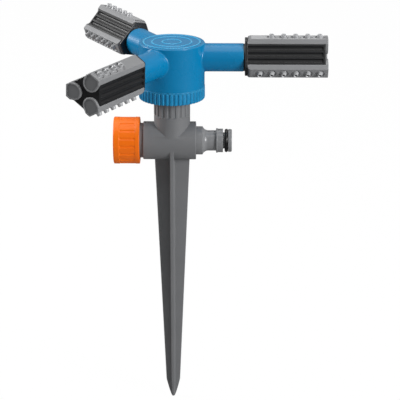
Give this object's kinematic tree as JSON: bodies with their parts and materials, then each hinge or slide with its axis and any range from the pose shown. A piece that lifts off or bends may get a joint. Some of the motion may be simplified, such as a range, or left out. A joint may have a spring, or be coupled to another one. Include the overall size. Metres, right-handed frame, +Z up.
{
  "type": "spike sprinkler",
  "caption": "Rotary garden sprinkler on a cross-ribbed ground spike: blue head with arms, turnable triangular spray bars, side hose nipple and orange end cap.",
  "frame": {"origin": "on the head's spin axis, at the soil line, where the spike stands in the ground", "axes": "+Z up along the spin axis, +X along the hose nipple and, at rest, along the right arm, +Y away from the viewer"},
  "size_m": [0.1691, 0.1926, 0.2647],
  "materials": {
    "grey_body": "satin moulded, mid grey",
    "grey_strip": "satin moulded, light grey",
    "black_bar": "satin moulded, black",
    "blue_head": "semi-gloss moulded, blue",
    "orange_cap": "satin moulded, orange",
    "rubber_seal": "smooth black rubber",
    "white_acetal": "natural acetal",
    "steel_washer": "stamped stainless steel",
    "brass_nut": "turned brass"
  },
  "bodies": {
    "base": {"spike_body": "grey_body", "inlet_nipple": "grey_body", "nipple_o_ring": "rubber_seal", "spindle": "grey_body", "spindle_gasket": "rubber_seal", "lower_washer": "white_acetal", "thrust_washer": "steel_washer", "spindle_nut": "brass_nut"},
    "rotor": {"head_shell": "blue_head", "base_ring": "blue_head", "top_disc": "blue_head", "head_o_ring": "rubber_seal", "spindle_bush": "white_acetal", "spindle_seal": "rubber_seal", "right_arm_seal": "rubber_seal", "back_arm_seal": "rubber_seal", "front_arm_seal": "rubber_seal"},
    "right_bar": {"right_bar_plate": "black_bar", "right_bar_core": "black_bar", "right_strip_4": "grey_strip", "right_strip_5": "grey_strip", "right_strip_6": "grey_strip"},
    "back_bar": {"back_bar_plate": "black_bar", "back_bar_core": "black_bar", "back_strip_4": "grey_strip", "back_strip_5": "grey_strip", "back_strip_6": "grey_strip"},
    "front_bar": {"front_bar_plate": "black_bar", "front_bar_core": "black_bar", "front_strip_4": "grey_strip", "front_strip_5": "grey_strip", "front_strip_6": "grey_strip"},
    "cap_seal": {"cap_gasket": "rubber_seal"},
    "cap": {"end_cap": "orange_cap"}
  },
  "joints": [
    {"name": "head_spin", "type": "hinge", "parent": "base", "child": "rotor", "pos_m": [0, 0, 0.0603], "axis": [0, 0, 1], "continuous": true},
    {"name": "right_bar_turn", "type": "hinge", "parent": "rotor", "child": "right_bar", "pos_m": [0.0488, 0, 0.0882], "axis": [1, 0, 0], "continuous": true},
    {"name": "back_bar_turn", "type": "hinge", "parent": "rotor", "child": "back_bar", "pos_m": [-0.0244, 0.04226, 0.0882], "axis": [-0.5, 0.866, 0], "continuous": true},
    {"name": "front_bar_turn", "type": "hinge", "parent": "rotor", "child": "front_bar", "pos_m": [-0.0244, -0.04226, 0.0882], "axis": [-0.5, -0.866, 0], "continuous": true},
    {"name": "cap_travel", "type": "slide", "parent": "base", "child": "cap_seal", "axis": [-1, 0, 0], "range_m": [0, 0.0118]},
    {"name": "cap_unscrew", "type": "hinge", "parent": "cap_seal", "child": "cap", "pos_m": [-0.0375, 0, 0.03], "axis": [-1, 0, 0], "range_deg": [0, 2340]}
  ],
  "couplings": [
    {"joint": "cap_travel", "follows": "cap_unscrew", "m_per_rad": 0.00028871}
  ]
}
